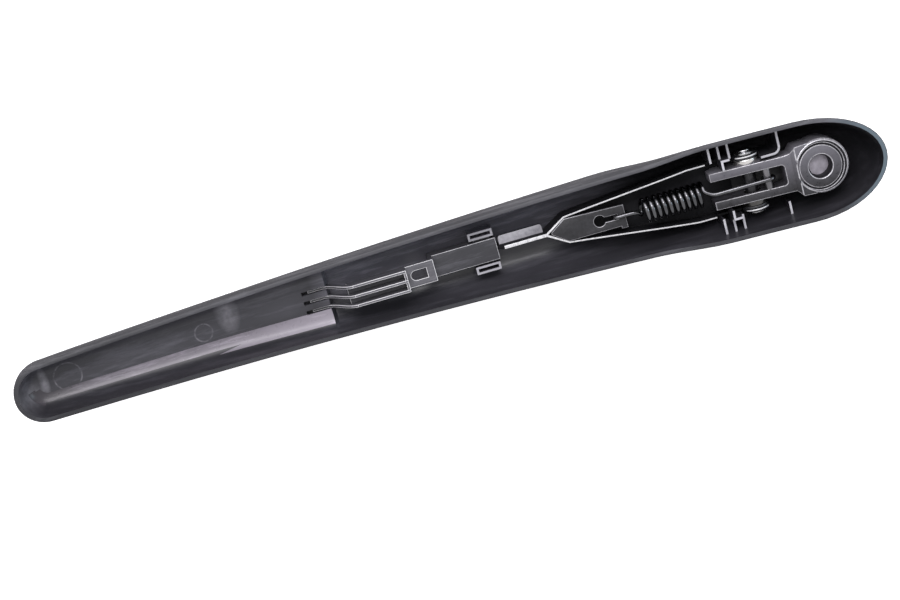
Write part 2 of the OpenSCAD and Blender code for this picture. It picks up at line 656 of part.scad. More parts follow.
module mounting_head() {
    ear_in = clevis_half - ear_t;
    soft = 0.8;
    color(casting) difference() {
        union() {
            difference() {
                union() {
                    translate([hub_shift, 0, 0]) rotate_extrude()
                        polygon([[0, hub_bottom], [hub_r - soft, hub_bottom], [hub_r, hub_bottom + soft],
                            [hub_r, mouth_z - 0.3 - soft], [hub_r - soft, mouth_z - 0.3], [0, mouth_z - 0.3]]);
                    translate([0, 0, hub_bottom + soft / 2]) linear_extrude(mouth_z - 0.5 - hub_bottom - soft / 2)
                        polygon([[-slot_end, clevis_half], [-12.2, clevis_half + 0.3], [-9.9, hub_r - 1.1],
                                 [-4, hub_r - 0.7], [-4, 0.7 - hub_r], [-9.9, 1.1 - hub_r],
                                 [-12.2, -clevis_half - 0.3], [-slot_end, -clevis_half]]);
                }
                side_slab(-big / 2, big / 2)
                    polygon([[-10.2, mouth_z - 0.4], [-12.2, ear_top], [-big, ear_top], [-big, big], [-10.2, big]]);
                translate([0, 0, mouth_z - groove_d]) cylinder(r = land_r + groove_w, h = big);
            }
            translate([0, 0, hub_bottom + 1]) cylinder(r = land_r, h = mouth_z - hub_bottom - 1);
            side_slab(-clevis_half, clevis_half) {
                polygon([[-12.2, ear_top], [-slot_end, ear_top], [-ear_end, ear_top - ear_fall],
                         [-ear_end, -ear_low + 3], [-ear_end + 3, -ear_low], [-38, -ear_low],
                         [-pivot_x, pivot_z - ear_round], [-pivot_x + 4, pivot_z - 5.9],
                         [-slot_end, hub_bottom + soft / 2], [-12.2, hub_bottom + soft / 2]]);
                translate([-pivot_x, pivot_z]) circle(ear_round);
            }
        }
        translate([-slot_end - big, -ear_in, -big / 2]) cube([big - 1.5, 2 * ear_in, big]);
        translate([-slot_end - 2, -ear_in + 1.5, -big / 2]) cube([2, 2 * ear_in - 3, big]);
        for (side = [-1, 1])
            translate([-slot_end - 1.5, side * (ear_in - 1.5), -big / 2]) cylinder(r = 1.5, h = big);
        translate([0, 0, mouth_z - socket_depth]) cylinder(r = socket_r, h = big);
        translate([0, 0, mouth_z - mouth_taper])
            cylinder(r1 = socket_r, r2 = mouth_r, h = mouth_taper);
        at_pivot() bar_y(bush_r + seat_gap, -big / 2, big / 2);
        at_anchor() bar_y(anchor_r + seat_gap, -big / 2, big / 2);
    }
}

module pivot_pin() {
    tip_end = ret_half + ring_t + 1.3;
    color(steel) at_pivot() difference() {
        union() {
            bar_y(pin_r, -ret_half - 0.1, tip_end);
            bar_y(pin_head_r, -ret_half - seat_gap - pin_head_t, -ret_half - seat_gap);
        }
        difference() {
            bar_y(pin_r + 1, ret_half + seat_gap, ret_half + ring_t + 3 * seat_gap);
            bar_y(pin_r - 0.4, 0, big);
        }
    }
}

// A bush set in one ear of the clevis, with a collar outside the ear
module bush(side) {
    inner = clevis_half - ear_t;
    low = side > 0 ? inner : -clevis_half - collar_len;
    collar = side > 0 ? clevis_half + seat_gap : -clevis_half - collar_len;
    at_pivot() difference() {
        union() {
            bar_y(bush_r, low, low + ear_t + collar_len);
            bar_y(collar_r, collar, collar + collar_len - seat_gap);
        }
        bar_y(pin_r + run_gap, -big / 2, big / 2);
    }
}

module washer(side) {
    thick = ret_in - seat_gap - washer_in;
    low = side > 0 ? washer_in : -washer_in - thick;
    at_pivot() difference() {
        bar_y(collar_r + 0.3, low, low + thick);
        bar_y(pin_r + run_gap, -big / 2, big / 2);
    }
}

module pivot_bush_upper() {
    color(brass) bush(1);
}

module pivot_bush_lower() {
    color(brass) bush(-1);
}

module washer_upper() {
    color(black) washer(1);
}

module washer_lower() {
    color(black) washer(-1);
}

module retaining_ring() {
    color(steel) at_pivot() difference() {
        bar_y(ring_r, ret_half + 2 * seat_gap, ret_half + 2 * seat_gap + ring_t);
        bar_y(pin_r - 0.4 + seat_gap, 0, big);
    }
}

module spring_pin() {
    color(steel) at_anchor() bar_y(anchor_r, -clevis_half - 0.2, clevis_half + 0.2);
}

arm_shell();
retainer();
hook_plate();
blade_lever();
tension_spring();
mounting_head();
pivot_pin();
pivot_bush_upper();
pivot_bush_lower();
washer_upper();
washer_lower();
retaining_ring();
spring_pin();
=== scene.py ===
import bpy
import bmesh
import json
import math
from mathutils import Vector, Matrix
from mathutils.bvhtree import BVHTree

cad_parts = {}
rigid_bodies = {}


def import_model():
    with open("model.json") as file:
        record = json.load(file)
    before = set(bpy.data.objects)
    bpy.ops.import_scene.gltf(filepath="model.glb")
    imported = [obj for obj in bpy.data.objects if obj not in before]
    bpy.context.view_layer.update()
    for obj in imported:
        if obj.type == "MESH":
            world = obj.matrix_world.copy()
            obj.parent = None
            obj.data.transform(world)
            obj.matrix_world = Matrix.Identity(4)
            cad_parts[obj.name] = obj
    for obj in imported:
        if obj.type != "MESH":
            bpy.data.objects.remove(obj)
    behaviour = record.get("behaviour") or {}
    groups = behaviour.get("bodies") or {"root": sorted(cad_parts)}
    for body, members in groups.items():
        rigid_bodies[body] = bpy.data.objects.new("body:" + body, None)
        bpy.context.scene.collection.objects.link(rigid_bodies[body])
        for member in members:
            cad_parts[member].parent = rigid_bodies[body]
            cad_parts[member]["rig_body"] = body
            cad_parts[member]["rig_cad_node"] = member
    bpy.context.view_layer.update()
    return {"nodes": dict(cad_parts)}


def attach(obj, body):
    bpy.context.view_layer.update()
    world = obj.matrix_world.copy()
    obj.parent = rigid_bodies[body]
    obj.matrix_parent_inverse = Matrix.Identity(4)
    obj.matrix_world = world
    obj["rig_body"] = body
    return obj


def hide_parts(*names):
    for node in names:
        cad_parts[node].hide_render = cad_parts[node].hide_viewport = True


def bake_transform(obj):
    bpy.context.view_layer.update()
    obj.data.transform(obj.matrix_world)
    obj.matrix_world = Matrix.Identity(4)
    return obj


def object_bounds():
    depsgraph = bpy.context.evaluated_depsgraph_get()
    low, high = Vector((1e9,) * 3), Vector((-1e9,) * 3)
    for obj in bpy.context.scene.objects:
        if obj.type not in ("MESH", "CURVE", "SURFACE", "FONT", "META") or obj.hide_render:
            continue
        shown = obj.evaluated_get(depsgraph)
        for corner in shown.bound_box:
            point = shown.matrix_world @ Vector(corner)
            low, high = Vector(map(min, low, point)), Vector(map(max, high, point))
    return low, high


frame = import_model()
MM = 0.001
NODES = frame["nodes"]
scene = bpy.context.scene


# ---------- node helpers
X, Y = 0, 1
MIX_A, MIX_B, MIX_OUT = 6, 7, 2  # the colour sockets of a Mix node


class Net:
    """The node tree of one material, in object coordinates."""

    def __init__(self, name):
        self.mat = bpy.data.materials.new(name)
        self.mat.use_nodes = True
        self.t = self.mat.node_tree
        self.t.nodes.clear()
        self.out = self.t.nodes.new("ShaderNodeOutputMaterial")
        self.b = self.t.nodes.new("ShaderNodeBsdfPrincipled")
        self.t.links.new(self.b.outputs[0], self.out.inputs[0])
        self.co = self.t.nodes.new("ShaderNodeTexCoord").outputs["Object"]

    def node(self, kind, **props):
        n = self.t.nodes.new(kind)
        for k, v in props.items():
            setattr(n, k, v)
        return n

    def link(self, a, b):
        self.t.links.new(a, b)

    def feed(self, socket, value):
        """Link a socket's output, or set a plain value."""
        if hasattr(value, "is_linked"):
            self.link(value, socket)
        else:
            socket.default_value = value

    def put(self, name, value):
        self.feed(self.b.inputs[name], value)

    def noise(self, scale, detail, rough, stretch=(1, 1, 1)):
        m = self.node("ShaderNodeMapping")
        m.inputs["Scale"].default_value = stretch
        self.link(self.co, m.inputs["Vector"])
        n = self.node("ShaderNodeTexNoise")
        n.inputs["Scale"].default_value = scale
        n.inputs["Detail"].default_value = detail
        n.inputs["Roughness"].default_value = rough
        self.link(m.outputs[0], n.inputs["Vector"])
        return n.outputs[0]

    def along(self, axis):
        sep = self.node("ShaderNodeSeparateXYZ")
        self.link(self.co, sep.inputs[0])
        return sep.outputs[axis]

    def scaled(self, colour, factor):
        n = self.node("ShaderNodeVectorMath", operation="SCALE")
        self.link(colour, n.inputs[0])
        self.link(factor, n.inputs["Scale"])
        return n.outputs[0]

    def span(self, value, lo, hi, frm=0.3, to=0.7):
        """lo where the value is frm, hi where it is to, and no further."""
        n = self.node("ShaderNodeMapRange")
        n.inputs["From Min"].default_value = frm
        n.inputs["From Max"].default_value = to
        n.inputs["To Min"].default_value = lo
        n.inputs["To Max"].default_value = hi
        self.link(value, n.inputs["Value"])
        return n.outputs[0]

    def math(self, op, a, b=0.0):
        n = self.node("ShaderNodeMath", operation=op)
        self.feed(n.inputs[0], a)
        self.feed(n.inputs[1], b)
        return n.outputs[0]

    def times(self, a, b):
        return self.math("MULTIPLY", a, b)

    def plus(self, a, b):
        return self.math("ADD", a, b)

    def minus(self, a, b):
        return self.math("SUBTRACT", a, b)

    def shares(self, a, share, b):
        """This share of a, and b for the rest."""
        return self.plus(self.times(a, share), self.times(b, 1 - share))

    def length(self, dx, dy):
        return self.math("SQRT", self.plus(self.times(dx, dx), self.times(dy, dy)))

    def mix(self, factor, a, b):
        n = self.node("ShaderNodeMix", data_type="RGBA")
        self.link(factor, n.inputs[0])
        for i, v in ((MIX_A, a), (MIX_B, b)):
            self.feed(n.inputs[i], v if hasattr(v, "is_linked") else (*v, 1))
        return n.outputs[MIX_OUT]

    def bump(self, height, distance, strength, normal=None):
        n = self.node("ShaderNodeBump")
        n.inputs["Strength"].default_value = strength
        n.inputs["Distance"].default_value = distance
        self.link(height, n.inputs["Height"])
        if normal is not None:
            self.link(normal, n.inputs["Normal"])
        return n.outputs[0]


# ---------- heights along the arm, and painted light and shade on the cover
# The rim is a bow from the tip to the spindle, levelled off beyond it; millimetres
HEAD_END = 29.4
HALF_BOW = 181.75
RIM_AT_SPINDLE = 6.9
BOW_DEPTH = 13.6
LEVEL = HEAD_END / HALF_BOW
# The tops of the retainer's walls: their height at the head, and where they go down; millimetres
WALL_TOP, WALL_DROP = -8.1, 6.2
DROP_FROM, DROP_TO = 49.3, 126.8


def rim_at(x):
    t = (x + HALF_BOW) / HALF_BOW
    return RIM_AT_SPINDLE + BOW_DEPTH * (t * t - 1 if t <= 1 else 2 * (t - 1) * (1 - (t - 1) / (2 * LEVEL)))


def soft(a, b, x):
    t = max(0.0, min(1.0, (x - a) / (b - a)))
    return t * t * (3 - 2 * t)


def wall_top_at(x):
    return WALL_TOP - WALL_DROP * soft(DROP_FROM, DROP_TO, -x)


# Where the cover's painted light, shade and highlights change: the two ends of each change, in metres
MIDDLE_START, MIDDLE_END = (-0.238, -0.227), (-0.115, -0.078)
MIDDLE_ACROSS = (-0.010, 0.004)
TIP_END = (-0.25, -0.232)
TIP_LOWER, TIP_UPPER = (-0.008, -0.002), (0.009, 0.013)
HEAD_PAINTED_SHADE = (-0.05, 0.01)
WALL_ACROSS = (-0.012, 0.008)
RIM_TIP = (-0.33, -0.27)
FILLET_TIP, FILLET_MIDDLE = (-0.362, -0.345), (-0.32, -0.25)
NOSE_HIGHLIGHT_START = (0.004, 0.022)
MIDDLE_GAIN = 3.8


def inside_painted_light(n):
    """Painted light and shade: paler in the middle of the cover, most on its +Y side, a little at the tip, and
    painted shade in the head.
    """
    x, y = n.along(X), n.along(Y)
    middle = n.times(n.span(x, 0, 1, *MIDDLE_START), n.span(x, 1, 0, *MIDDLE_END))
    middle = n.times(n.times(middle, n.span(y, 0.12, 1, *MIDDLE_ACROSS)), MIDDLE_GAIN)
    tip = n.times(n.span(y, 0, 1, *TIP_LOWER), n.span(y, 1, 0.2, *TIP_UPPER))
    tip = n.times(n.span(x, 1.2, 0, *TIP_END), tip)
    return n.times(n.plus(n.plus(middle, tip), 1), n.span(x, 1, 0.7, *HEAD_PAINTED_SHADE))


# Painted light on the cover's outside: paler on its +Y side, darker on its -Y side
def outside_painted_light(n):
    return n.span(n.along(Y), 0.32, 1.5, *WALL_ACROSS)


# Painted light on the rim: darker on its -Y side and toward the tip
def rim_painted_light(n):
    return n.times(n.span(n.along(Y), 0.72, 1, *WALL_ACROSS), n.span(n.along(X), 0.72, 1, *RIM_TIP))


# Painted highlight along the fillet on the -Y side: weaker at the tip, strongest in the middle
def fillet_highlight_grade(n):
    x = n.along(X)
    return n.times(n.span(x, 0.35, 0.8, *FILLET_TIP), n.span(x, 1.05, 2.1, *FILLET_MIDDLE))


# ---------- materials
# Pale patches inside the cover: x, y, half length, half width in mm, strength
PALE_PATCHES = [(-277.5, 6.5, 6, 11, 0.3), (-364.8, 1.5, 2.4, 8, 0.34), (-371.5, -3, 7, 9, 0.2)]
PALE_PATCH_TONE = (0.38, 0.368, 0.4)
# Round marks of the ejector pins: x, y, radius in mm
RINGS = [(-354.0, 0.6, 6.3), (-290.2, 0.4, 4.1)]
RING_TONE = (0.16, 0.153, 0.17)
RING_LINE = (0.0001, 0.0005)  # off its middle, where a ring's line starts to fade and has gone
# Bluish painted highlight on the rim at the head's end
NOSE_HIGHLIGHT_TONE = (0.105, 0.135, 0.158)
SCUFF_GAIN, SCUFF_SHARE = 2.6, 0.6
GRAIN_DEPTH, RING_DEPTH = 0.00005, 0.00008
COAT_DEPTH = 0.00009
STEEL_DEPTH = 0.00003
STEEL_GRAIN = 900


def ring_lines(n):
    total = None
    for cx, cy, r in RINGS:
        away = n.length(n.minus(n.along(X), cx * MM), n.minus(n.along(Y), cy * MM))
        line = n.span(n.math("ABSOLUTE", n.minus(away, r * MM)), 1, 0, *RING_LINE)
        total = line if total is None else n.math("MAXIMUM", total, line)
    return total


def moulded(name, base, light, rough, rough_hi, spec=0.36, grade=None, marks=False, nose_highlight=False):
    """Grained plastic with soft sink marks and scuffs.

    marks adds the ejector pins' rings and the pale patches, nose_highlight a painted bluish highlight at the
    head's end.
    """
    n = Net(name)
    cloud = n.noise(34, 5, 0.62, (0.35, 1, 1))
    fine = n.noise(1900, 3, 0.6)
    mid = n.noise(420, 4, 0.6)
    col = n.mix(n.span(cloud, 0, 1, 0.32, 0.68), base, light)
    scuff = n.times(n.span(n.noise(170, 7, 0.75, (0.1, 1, 1)), 0, 1, 0.5, 0.72), SCUFF_SHARE)
    col = n.mix(scuff, col, tuple(min(1, c * SCUFF_GAIN) for c in light))
    normal = n.bump(n.shares(fine, 0.5, mid), GRAIN_DEPTH, 0.55)
    if marks:
        rings = ring_lines(n)
        normal = n.bump(rings, RING_DEPTH, 0.5, normal)
        col = n.mix(n.times(rings, n.span(mid, 0.05, 0.4, 0.4, 0.6)), col, RING_TONE)
        for cx, cy, rx, ry, full in PALE_PATCHES:
            dx = n.math("DIVIDE", n.minus(n.along(X), cx * MM), rx * MM)
            dy = n.math("DIVIDE", n.minus(n.along(Y), cy * MM), ry * MM)
            spot = n.times(n.span(n.length(dx, dy), full, 0, 0, 1), n.span(mid, 0.6, 1, 0.35, 0.65))
            col = n.mix(spot, col, PALE_PATCH_TONE)
    if grade:
        col = n.scaled(col, grade(n))
    # painted bluish highlight toward the head's end
    if nose_highlight:
        col = n.mix(n.span(n.along(X), 0, 1, *NOSE_HIGHLIGHT_START), col, NOSE_HIGHLIGHT_TONE)
    n.put("Base Color", col)
    n.put("Roughness", n.span(n.shares(cloud, 0.6, mid), rough, rough_hi))
    n.put("Specular IOR Level", spec)
    n.put("Normal", normal)
    return n.mat


def metal_coat(name, base, light, rough, rough_hi, metal=0.0, grain=620, spec=0.36, lit_side_y=None):
    """Painted or plated metal: speckled, and where lit_side_y gives two places in y, paler from one to the
    other as painted light.
    """
    n = Net(name)
    speck = n.noise(grain, 5, 0.7)
    cloud = n.noise(90, 3, 0.6)
    amount = n.shares(n.span(speck, 0, 1, 0.35, 0.7), 0.6, n.span(cloud, 0, 1))
    # painted light: paler across y toward the lit side
    if lit_side_y:
        light_slope = n.span(n.along(Y), 0, 0.85, lit_side_y[0] * MM, lit_side_y[1] * MM)
        amount = n.plus(n.times(amount, 0.25), light_slope)
    n.put("Base Color", n.mix(amount, base, light))
    n.put("Roughness", n.span(speck, rough, rough_hi))
    n.put("Metallic", metal)
    n.put("Specular IOR Level", spec)
    n.put("Normal", n.bump(n.shares(speck, 0.6, n.noise(grain * 2.4, 2, 0.5)), COAT_DEPTH, 0.6))
    return n.mat


def surface(name, base, light, rough, rough_hi, metal=0.0, depth=STEEL_DEPTH):
    """Bare metal or plain plastic of a small piece, with a fine grain."""
    n = Net(name)
    blotch = n.noise(60, 4, 0.6)
    fine = n.noise(STEEL_GRAIN, 3, 0.6)
    n.put("Base Color", n.mix(n.span(blotch, 0, 1), base, light))
    n.put("Roughness", n.span(n.shares(blotch, 0.6, fine), rough, rough_hi))
    n.put("Metallic", metal)
    n.put("Specular IOR Level", 0.5)
    n.put("Normal", n.bump(fine, depth, 0.5))
    return n.mat


# Each material: its darker and its lighter tone, and its least and most roughness
WHITEST = (0.9, 0.9, 0.9)
SHELL = moulded("cover plastic", (0.018, 0.0176, 0.0209), (0.0297, 0.0291, 0.034), 0.27, 0.37,
                grade=inside_painted_light, marks=True)
# The rim is paler than the cover's hollow: painted light on its upward faces
RIM_PAINTED_LIGHT = moulded("cover rim painted light", (0.043, 0.043, 0.0485), (0.073, 0.073, 0.0815), 0.3, 0.42,
              spec=0.26, grade=rim_painted_light, nose_highlight=True)
# Pale, glossy copy of the plastic on the ribs' tops: a painted highlight
RIBTOP_HIGHLIGHT = moulded("rib tops painted highlight", (0.2665, 0.2624, 0.2829), (0.5535, 0.5433, 0.5842), 0.22, 0.35)
# A paler copy of the cover's plastic: a painted highlight band on the fillet between floor and -Y wall
FILLET_HIGHLIGHT = moulded("cover fillet painted highlight", (0.1025, 0.0933, 0.1086), (0.205, 0.1865, 0.2152), 0.24, 0.34,
                 grade=fillet_highlight_grade)
# The outside's paler tone is a painted reflection of the floor, on a rougher plastic
OUTSIDE = moulded("cover outside", (0.041, 0.0406, 0.0433), (0.058, 0.0575, 0.0613), 0.64, 0.78,
                  spec=0.05, grade=outside_painted_light)
LEVER = moulded("lever plastic", (0.0369, 0.0365, 0.042), (0.0615, 0.0605, 0.0677), 0.28, 0.42)
# Paler copies of the lever's plastic on its upward tops and on the slotted plate: painted light
LEVER_TOP_LIT = moulded("lever tops painted light", (0.0656, 0.0646, 0.0728), (0.1127, 0.1107, 0.123), 0.24, 0.38)
LEVER_PLATE_LIT = moulded("lever plate painted light", (0.0656, 0.0646, 0.0728), (0.1025, 0.1004, 0.1107), 0.28, 0.42)
# Near-white rounded edges of the lever: a painted highlight
LEVER_EDGE_HIGHLIGHT = moulded("lever edges painted highlight", (0.492, 0.4838, 0.5125), (0.9, 0.8917, 0.9), 0.22, 0.35)
SHEET = metal_coat("coated sheet", (0.0072, 0.0072, 0.0086), (0.0154, 0.0152, 0.0172), 0.36, 0.55, spec=0.09)
# Near-white tops of the retainer's walls: a painted highlight
SHEET_TOP_HIGHLIGHT = metal_coat("retainer wall tops painted highlight", (0.492, 0.4858, 0.5166), WHITEST, 0.2, 0.38, 0.4)
# Pale rounded edges of the hook plate: a painted highlight
PLATE_EDGE_HIGHLIGHT = metal_coat("plate edges painted highlight", (0.205, 0.2009, 0.2193), (0.492, 0.4838, 0.5125), 0.2, 0.38, 0.4)
# Paler copy of the coated sheet on the flange's +Y side: a painted reflection
FLANGE_LIT = metal_coat("flange", (0.205, 0.2009, 0.2214), (0.41, 0.4018, 0.4346), 0.25, 0.42)
PLATE = metal_coat("hook plate", (0.012, 0.0118, 0.0138), (0.034, 0.0333, 0.0378), 0.28, 0.44)
# The casting's tone rises from -8 to 9.5 mm in y: painted light on its +Y side
CAST = metal_coat("coated casting", (0.0072, 0.007, 0.0086), (0.1353, 0.1312, 0.1486), 0.24, 0.42,
                  grain=480, lit_side_y=(-8, 9.5))
# Pale rounded edges and sloped rims of the casting: a painted highlight
CAST_EDGE_HIGHLIGHT = metal_coat("casting edges painted highlight", (0.25, 0.245, 0.265), (0.64, 0.63, 0.66), 0.2, 0.34, 0.35)
# Near-black copy of the casting in the socket's walls and the hub's groove: painted shade
CAST_SHADE = metal_coat("casting hollows painted shade", (0.0092, 0.009, 0.0107), (0.0184, 0.018, 0.0205), 0.4, 0.6, spec=0.1)
SOCKET = metal_coat("socket floor", (0.22, 0.207, 0.238), (0.5, 0.47, 0.53), 0.3, 0.5, 0.25, grain=260)
WIRE = surface("spring wire", (0.075, 0.075, 0.081), (0.13, 0.13, 0.138), 0.09, 0.16, 1.0, depth=0.00002)
STEEL = surface("plain steel", (0.615, 0.615, 0.6355), WHITEST, 0.2, 0.34, 1.0)
DARKPIN = surface("pin", (0.0225, 0.0221, 0.0246), (0.0492, 0.0482, 0.0533), 0.2, 0.34, 0.7)
BRIGHTPIN = surface("spring pin", (0.1, 0.098, 0.105), (0.24, 0.234, 0.25), 0.16, 0.34, 0.8)
BRASS = surface("bush", (0.451, 0.4305, 0.4202), (0.861, 0.8405, 0.82), 0.16, 0.3, 0.9)
# Dark copy of the bush's metal on the lower bush: painted shade
BUSH_PAINTED_SHADE = surface("lower bush painted shade", (0.05, 0.048, 0.047), (0.12, 0.116, 0.114), 0.2, 0.34, 0.9)
# White rounded edges of the upper bush: a painted highlight
BUSH_EDGE_HIGHLIGHT = surface("bush edges painted highlight", WHITEST, WHITEST, 0.2, 0.3, 1.0)
WASHER = surface("washer", (0.0205, 0.0205, 0.0225), (0.0369, 0.0369, 0.041), 0.25, 0.4)


# ---------- the solids with rounded edges and several materials
WELD = 2e-6
FLAT = math.radians(0.6)    # faces closer in angle than this are joined
CORNER = math.radians(32)   # edges sharper than this are rounded
UPWARD = 0.5                # and only those with a face that looks up by this much


def smooth_copy(node, mats, body, edge=0.25, pick=None, rim=0, flow=38, join=True):
    """A finer copy of a solid's mesh: welded, its upper edges rounded.

    pick gives each face the place of its material in mats, and rim is the place for the rounded edges.
    """
    o = NODES[node].copy()
    o.data = NODES[node].data.copy()
    o.name = node + "_fine"
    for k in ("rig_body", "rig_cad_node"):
        if k in o:
            del o[k]
    o.parent = None
    scene.collection.objects.link(o)
    o.data.materials.clear()
    for m in mats:
        o.data.materials.append(m)
    bm = bmesh.new()
    bm.from_mesh(o.data)
    bmesh.ops.remove_doubles(bm, verts=bm.verts, dist=WELD)
    if edge and join:
        bmesh.ops.dissolve_limit(bm, angle_limit=FLAT, verts=bm.verts, edges=bm.edges)
    bm.normal_update()
    tree = BVHTree.FromBMesh(bm)
    for f in bm.faces:
        f.material_index = pick(f.calc_center_median() * 1000, f.normal, tree) if pick else 0
    if edge:
        top = [e for e in bm.edges if len(e.link_faces) == 2 and e.is_convex
               and e.calc_face_angle(0) > CORNER and max(f.normal.z for f in e.link_faces) > UPWARD]
        bmesh.ops.bevel(bm, geom=top, offset=edge * MM, offset_type="OFFSET", segments=2, profile=0.5,
                        affect="EDGES", clamp_overlap=False, material=rim)
    for f in bm.faces:
        f.smooth = True
    for e in bm.edges:
        e.smooth = True
    bm.to_mesh(o.data)
    bm.free()
    for name in ("custom_normal", "sharp_face", "sharp_edge"):
        a = o.data.attributes.get(name)
        if a:
            o.data.attributes.remove(a)
    with bpy.context.temp_override(object=o, active_object=o, selected_objects=[o],
                                   selected_editable_objects=[o]):
        bpy.ops.object.shade_smooth_by_angle(angle=math.radians(flow))
    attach(o, body)
    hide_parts(node)


# Picks of a material for each face, from its centre c in millimetres and its normal n.
# What they return is the place in the list that smooth_copy gets.
PLAIN = 0
ON_RIM, ON_RIB_HIGHLIGHT, ON_OUTSIDE, ON_FILLET_HIGHLIGHT = 1, 2, 3, 4
ON_WALL_TOP_HIGHLIGHT, ON_FLANGE_LIT = 1, 2
ON_LEVER_TOP_LIT, ON_SLOT_PLATE_LIT = 1, 2
ON_CAST_HIGHLIGHT, ON_SOCKET, ON_HOLLOW_SHADE = 1, 2, 3

RIB_TOPS = (-4.5, -0.6, -17.3)
RIB_FROM, RIB_TO = -172, -14
# where the fillet's painted highlight ends toward the head, and how far below the rim it stays; mm
FILLET_FROM, FILLET_BELOW_RIM = -231.5, 4
MID_DEPTH = 8        # the middle of the cover's hollow, under the rim
TIP_CENTRE = -358    # x of the tip's round
RAY_START, RAY_LENGTH = 0.0002, 0.3


def shell_pick(c, n, tree):
    # the rim's upward faces get painted light
    if n.z > 0.9 and abs(c.z - rim_at(c.x)) < 0.5:
        return ON_RIM
    # the ribs' tops get a painted highlight
    if n.z > 0.95 and RIB_FROM < c.x < RIB_TO and min(abs(c.z - z) for z in RIB_TOPS) < 0.08:
        return ON_RIB_HIGHLIGHT
    # the fillet on the -Y side gets a painted highlight
    if (c.x < FILLET_FROM and c.y < 0 and 0.05 < n.y < 0.6 and n.z > 0.6
            and c.z < rim_at(c.x) - FILLET_BELOW_RIM):
        return ON_FILLET_HIGHLIGHT
    # faces that look out of the cover get the outside's painted reflection
    away = (n.y * c.y + n.z * (c.z - rim_at(c.x) + MID_DEPTH)
            + n.x * (max(c.x, 0) + min(c.x - TIP_CENTRE, 0)))
    if n.z < 0.9 and away > 0 and tree.ray_cast(c * MM + n * RAY_START, n, RAY_LENGTH)[0] is None:
        return ON_OUTSIDE
    return PLAIN


def retainer_pick(c, n, tree):
    # the walls' tops get a painted highlight
    if n.z > 0.6 and c.z > wall_top_at(c.x) - 0.6:
        return ON_WALL_TOP_HIGHLIGHT
    # painted reflection on the flange's upward faces on the +Y side
    if n.z > 0.6 and c.x < -127 and c.y > 1:
        return ON_FLANGE_LIT
    return PLAIN


def lever_pick(c, n, tree):
    # painted light on the prongs' tops
    if n.z > 0.55 and c.z > -6 and c.x < -190:
        return ON_LEVER_TOP_LIT
    # painted light on the slotted plate
    if n.z > 0.9 and abs(c.z + 10.3) < 0.3:
        return ON_SLOT_PLATE_LIT
    return PLAIN


def head_pick(c, n, tree):
    r = math.hypot(c.x, c.y)
    if n.z > 0.9 and r < 4.9 and c.z < -1.5:
        return ON_SOCKET
    # painted shade in the socket's walls and the groove
    if r < 5.9 and c.z < HUB_TOP - 0.35 or n.z > 0.9 and 9 < r < 12 and c.x > -9 and c.z < HUB_TOP - 0.15:
        return ON_HOLLOW_SHADE
    # the hub's sloped outer faces on its +X side get the painted highlight
    if 0.4 < n.z < 0.9 and r > 11.5 and c.x > -10 and c.z > HUB_TOP - 1.5:
        return ON_CAST_HIGHLIGHT
    return PLAIN


HEAD = NODES["mounting_head"]
HUB_TOP = 1000 * max((HEAD.matrix_world @ v.co).z for v in HEAD.data.vertices)
smooth_copy("arm_shell", [SHELL, RIM_PAINTED_LIGHT, RIBTOP_HIGHLIGHT, OUTSIDE, FILLET_HIGHLIGHT], "arm", edge=0,
            pick=shell_pick, flow=50)
smooth_copy("retainer", [SHEET, SHEET_TOP_HIGHLIGHT, FLANGE_LIT], "arm", 0.16, pick=retainer_pick)
smooth_copy("hook_plate", [PLATE, PLATE_EDGE_HIGHLIGHT], "arm", 0.25, rim=1)
smooth_copy("blade_lever", [LEVER, LEVER_TOP_LIT, LEVER_PLATE_LIT, LEVER_EDGE_HIGHLIGHT], "arm", 0.2,
            lever_pick, 3)
# Not joined: a joined face would close the spindle's socket
smooth_copy("mounting_head", [CAST, CAST_EDGE_HIGHLIGHT, SOCKET, CAST_SHADE], "head", 0.3,
            head_pick, ON_CAST_HIGHLIGHT, join=False)
smooth_copy("pivot_pin", [DARKPIN, STEEL], "arm", 0.4, rim=1)
smooth_copy("pivot_bush_upper", [BRASS, BUSH_EDGE_HIGHLIGHT], "head", 0.3, rim=1)
smooth_copy("pivot_bush_lower", [BUSH_PAINTED_SHADE], "head", 0.25)
smooth_copy("washer_upper", [WASHER], "arm", 0.2)
smooth_copy("washer_lower", [WASHER], "arm", 0.2)
smooth_copy("retaining_ring", [STEEL], "arm", 0)
smooth_copy("spring_pin", [BRIGHTPIN], "head", 0.2)


# ---------- the spring as one smooth wire, its line in millimetres
COIL_R = 5.1
COIL_START, COIL_LENGTH, COIL_Z = -53.2, 28.8, -8.4
COIL_STEPS, COIL_STEP, COIL_TURNED = 210, 18, 112   # steps, degrees in each, degrees at the start
PIN_AT = (-23.8, 0, -2.9)
PIN_HOOK_R = 1.75 + 1 + 0.05         # the pin's and the wire's radius, and a clearance
PLATE_HOOK_R = 0.8 + 1 + 0.25        # half the plate, the wire's radius, and a clearance
PLATE_HOOK_X = -92.9
PLATE_MID = -11 + (-93.3 + 89.7) * math.tan(math.radians(5)) - 0.8  # the plate leans by 5 degrees
WIRE_R, WIRE_SIDES, WIRE_PARTS = 0.985, 14, 2


def arc(at, radius, start, sweep, steps):
    """Points round a centre in the xz plane, angles in degrees."""
    turned = [math.radians(start + sweep * i / steps) for i in range(steps + 1)]
    return [Vector((at[0] + radius * math.cos(a), at[1], at[2] + radius * math.sin(a))) for a in turned]


